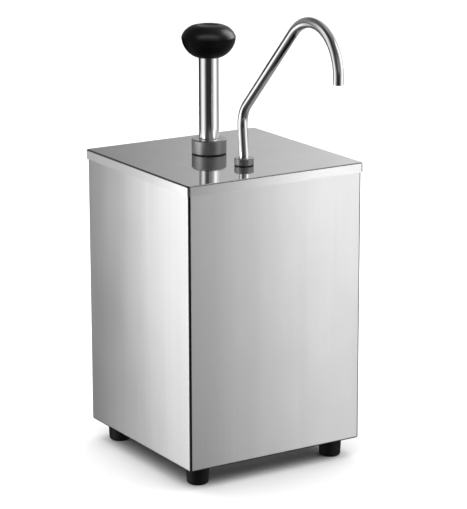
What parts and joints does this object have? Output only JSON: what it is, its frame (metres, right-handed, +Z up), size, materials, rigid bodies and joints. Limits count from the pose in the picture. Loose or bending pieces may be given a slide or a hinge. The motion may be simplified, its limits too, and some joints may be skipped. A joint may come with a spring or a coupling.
{
  "type": "condiment pump dispenser",
  "caption": "Square stainless steel countertop condiment dispenser with a lift-out jar, a lift-off lid, a spring-return plunger pump with a round black knob, and a swivelling gooseneck spout.",
  "frame": {"origin": "on the counter, under the middle of the square housing", "axes": "+Z up; -Y is the front, the way the spout points; +X is the object's left as it faces the user, to the right seen from the front"},
  "size_m": [0.193, 0.3022, 0.4471],
  "materials": {
    "steel_brushed": "brushed stainless steel, vertical grain",
    "steel_mirror": "polished stainless steel",
    "steel_satin": "satin stainless steel",
    "steel_plain": "plain stainless steel",
    "knob_black": "satin-gloss black moulded plastic",
    "rubber_black": "black rubber",
    "seal_black": "black seal rubber",
    "bush_white": "white acetal",
    "cast_white": "natural moulded plastic"
  },
  "bodies": {
    "housing": {"housing_shell": "steel_brushed", "base_plate": "steel_plain", "jar_guides": "steel_plain", "foot_front_left": "rubber_black", "foot_front_right": "rubber_black", "foot_rear_left": "rubber_black", "foot_rear_right": "rubber_black", "foot_screws": "steel_plain", "foot_washers": "steel_plain", "foot_nuts": "steel_plain"},
    "jar": {"jar": "steel_plain"},
    "lid_pump": {"lid": "steel_mirror", "pump_cylinder": "steel_plain", "cylinder_gasket": "seal_black", "lock_collar": "steel_satin", "collar_gasket": "seal_black", "guide_bush": "bush_white", "plunger_seal": "seal_black", "discharge_tube": "steel_plain", "neck_gasket": "seal_black", "spout_collar": "steel_satin", "spout_gasket": "seal_black", "spout_seals": "seal_black", "valve_body": "cast_white", "valve_body_gaskets": "seal_black", "passage_plug": "steel_plain", "inlet_seat": "steel_plain", "ball_pins": "steel_plain", "return_spring": "steel_plain"},
    "plunger": {"plunger_tube": "steel_mirror", "piston": "bush_white", "piston_rings": "seal_black", "stem_plug": "steel_plain", "piston_screw": "steel_plain", "knob": "knob_black", "knob_insert": "steel_plain"},
    "spout": {"spout_tube": "steel_mirror", "spout_ferrule": "steel_plain"},
    "inlet_ball": {"inlet_ball": "steel_mirror"},
    "outlet_ball": {"outlet_ball": "steel_mirror"}
  },
  "joints": [
    {"name": "jar_lift", "type": "slide", "parent": "housing", "child": "jar", "axis": [0, 0, 1], "range_m": [0, 0.28]},
    {"name": "lid_lift", "type": "slide", "parent": "jar", "child": "lid_pump", "axis": [0, 0, 1], "range_m": [0, 0.3]},
    {"name": "plunger_stroke", "type": "slide", "parent": "lid_pump", "child": "plunger", "axis": [0, 0, -1], "range_m": [0, 0.0585], "stiffness_N_per_m": 400, "springref_m": -0.03, "deforming": ["return_spring"]},
    {"name": "spout_swivel", "type": "hinge", "parent": "lid_pump", "child": "spout", "pos_m": [-0.005, -0.046, 0], "axis": [0, 0, 1], "range_deg": [-90, 90]},
    {"name": "inlet_ball_lift", "type": "slide", "parent": "lid_pump", "child": "inlet_ball", "axis": [0, 0, 1], "range_m": [0, 0.004]},
    {"name": "outlet_ball_lift", "type": "slide", "parent": "lid_pump", "child": "outlet_ball", "axis": [0, 0, 1], "range_m": [0, 0.003]}
  ]
}
